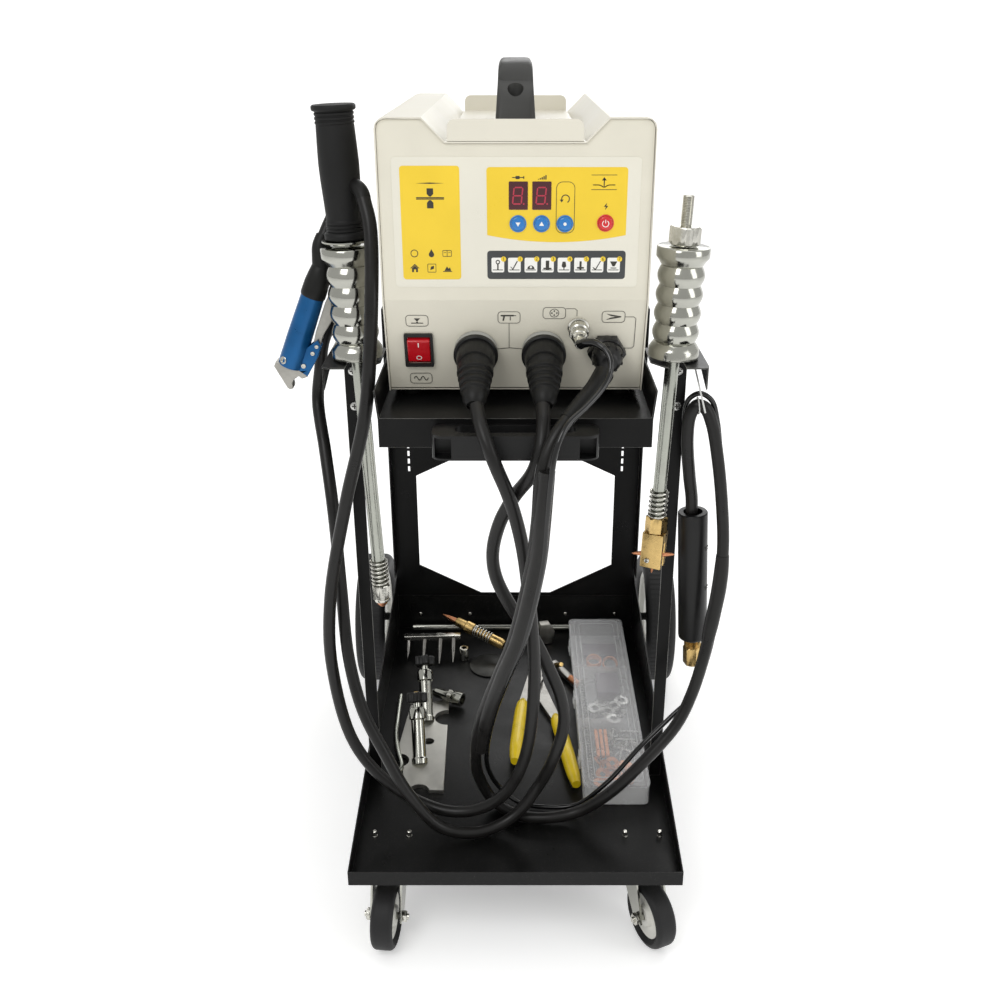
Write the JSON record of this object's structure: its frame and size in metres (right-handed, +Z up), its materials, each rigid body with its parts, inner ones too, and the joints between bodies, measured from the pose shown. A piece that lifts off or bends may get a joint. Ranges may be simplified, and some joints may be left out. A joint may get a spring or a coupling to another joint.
{
  "type": "dent puller spot welder",
  "caption": "Steel spot welder cabinet on a wheeled two-shelf trolley, with two slide hammers, a puller tool, a torch, cables and a tray of pulling accessories.",
  "frame": {"origin": "on the floor, at the middle of the machine's length and width, its free cords not counted", "axes": "+X to the machine's left-hand side as it faces you (to the right in a front view), +Y towards its back, +Z up; its front faces -Y"},
  "size_m": [0.4979, 0.7061, 0.931],
  "materials": {
    "cream_paint": "satin powder coat",
    "black_paint": "satin black powder coat",
    "black_plastic": "moulded, fine grain",
    "black_rubber": "matt",
    "tyre_rubber": "ribbed tread on a pale rim",
    "chrome": "turned and plated",
    "zinc": "bright zinc plate",
    "brass": "machined",
    "copper": "enamelled winding",
    "aluminium": "brushed",
    "blue_anodised": "blue anodised",
    "button_blue": "glossy",
    "button_red": "glossy",
    "clear_plastic": "clear polypropylene",
    "yellow_grip": "dipped vinyl grips on steel",
    "board_green": "printed circuit board",
    "core_steel": "laminated steel"
  },
  "bodies": {
    "machine": {"cabinet_cover": "cream_paint", "base_pan": "cream_paint", "front_panel": "cream_paint", "rear_panel": "cream_paint", "handle_plate": "cream_paint", "upper_shelf": "black_paint", "lower_tray": "black_paint", "rear_frame": "black_paint", "front_post_left": "black_paint", "front_post_right": "black_paint", "hammer_bracket_left": "black_paint", "hammer_bracket_right": "black_paint", "carry_handle": "black_plastic", "rocker_bezel": "black_plastic", "cable_gland": "black_plastic", "mains_inlet": "black_plastic", "push_handle": "black_plastic", "fan_housing": "black_plastic", "torch_body": "black_plastic", "weld_plug_left": "black_rubber", "weld_plug_right": "black_rubber", "pistol_cable": "black_rubber", "puller_cable": "black_rubber", "torch_cable": "black_rubber", "control_cable": "black_rubber", "slide_hammer_left": "chrome", "slide_hammer_right": "chrome", "weld_socket_left": "zinc", "weld_socket_right": "zinc", "control_socket": "zinc", "control_plug": "zinc", "rear_axle": "zinc", "caster_plate_left": "zinc", "caster_plate_right": "zinc", "transformer_coil": "copper", "puller_stand": "aluminium", "puller_body": "blue_anodised", "accessory_box": "clear_plastic", "plier_arm_lower": "yellow_grip", "control_board": "board_green", "transformer_core": "core_steel"},
    "rocker": {"rocker_switch": "button_red"},
    "down_key": {"button_down": "button_blue"},
    "up_key": {"button_up": "button_blue"},
    "select_key": {"button_select": "button_blue"},
    "power_key": {"power_button": "button_red"},
    "fan": {"fan_rotor": "black_plastic"},
    "pistol": {"pistol_rod": "zinc", "pistol_grip": "black_rubber"},
    "electrode_tool": {"electrode_rod": "zinc", "electrode_head": "brass"},
    "left_swivel": {"caster_fork_left": "zinc"},
    "left_caster_wheel": {"caster_wheel_left": "tyre_rubber"},
    "right_swivel": {"caster_fork_right": "zinc"},
    "right_caster_wheel": {"caster_wheel_right": "tyre_rubber"},
    "left_rear_wheel": {"rear_wheel_left": "tyre_rubber"},
    "right_rear_wheel": {"rear_wheel_right": "tyre_rubber"},
    "box_lid": {"accessory_box_lid": "clear_plastic"},
    "upper_plier_arm": {"plier_arm_upper": "yellow_grip"},
    "lever": {"puller_lever": "aluminium"}
  },
  "joints": [
    {"name": "rocker_tilt", "type": "hinge", "parent": "machine", "child": "rocker", "pos_m": [-0.0955, -0.20473, 0.66814], "axis": [1, 0, 0], "range_deg": [-14, 0]},
    {"name": "down_press", "type": "slide", "parent": "machine", "child": "down_key", "axis": [0, 1, 0], "range_m": [0, 0.0012], "stiffness_N_per_m": 400},
    {"name": "up_press", "type": "slide", "parent": "machine", "child": "up_key", "axis": [0, 1, 0], "range_m": [0, 0.0012], "stiffness_N_per_m": 400},
    {"name": "select_press", "type": "slide", "parent": "machine", "child": "select_key", "axis": [0, 1, 0], "range_m": [0, 0.0012], "stiffness_N_per_m": 400},
    {"name": "power_press", "type": "slide", "parent": "machine", "child": "power_key", "axis": [0, 1, 0], "range_m": [0, 0.0012], "stiffness_N_per_m": 400},
    {"name": "fan_spin", "type": "hinge", "parent": "machine", "child": "fan", "pos_m": [0.04, 0.154, 0.745], "axis": [0, 1, 0], "continuous": true},
    {"name": "pistol_lift", "type": "slide", "parent": "machine", "child": "pistol", "axis": [-0.038, 0, 0.9993], "range_m": [0, 0.22]},
    {"name": "electrode_tool_lift", "type": "slide", "parent": "machine", "child": "electrode_tool", "axis": [0.038, 0, 0.9993], "range_m": [0, 0.08]},
    {"name": "left_caster_swivel", "type": "hinge", "parent": "machine", "child": "left_swivel", "pos_m": [-0.143, -0.287, 0.09], "axis": [0, 0, 1], "continuous": true},
    {"name": "left_caster_spin", "type": "hinge", "parent": "left_swivel", "child": "left_caster_wheel", "pos_m": [-0.1458, -0.31486, 0.0375], "axis": [0.995, -0.0998, 0], "continuous": true},
    {"name": "right_caster_swivel", "type": "hinge", "parent": "machine", "child": "right_swivel", "pos_m": [0.143, -0.287, 0.09], "axis": [0, 0, 1], "continuous": true},
    {"name": "right_caster_spin", "type": "hinge", "parent": "right_swivel", "child": "right_caster_wheel", "pos_m": [0.15442, -0.31257, 0.0375], "axis": [0.9131, 0.4078, 0], "continuous": true},
    {"name": "left_rear_spin", "type": "hinge", "parent": "machine", "child": "left_rear_wheel", "pos_m": [-0.22, 0.253, 0.1], "axis": [1, 0, 0], "continuous": true},
    {"name": "right_rear_spin", "type": "hinge", "parent": "machine", "child": "right_rear_wheel", "pos_m": [0.22, 0.253, 0.1], "axis": [1, 0, 0], "continuous": true},
    {"name": "box_lid_hinge", "type": "hinge", "parent": "machine", "child": "box_lid", "pos_m": [0.162, -0.007, 0.1271], "axis": [0, 1, 0], "range_deg": [0, 90]},
    {"name": "plier_pivot", "type": "hinge", "parent": "machine", "child": "upper_plier_arm", "pos_m": [0.028, 0.05, 0.1127], "axis": [0, 0, 1], "range_deg": [-10, 8]},
    {"name": "lever_hinge", "type": "hinge", "parent": "machine", "child": "lever", "pos_m": [-0.2079, -0.145, 0.655], "axis": [0, 1, 0], "range_deg": [0, 6], "stiffness_Nm_per_rad": 0.3, "springref_deg": -2.86}
  ]
}
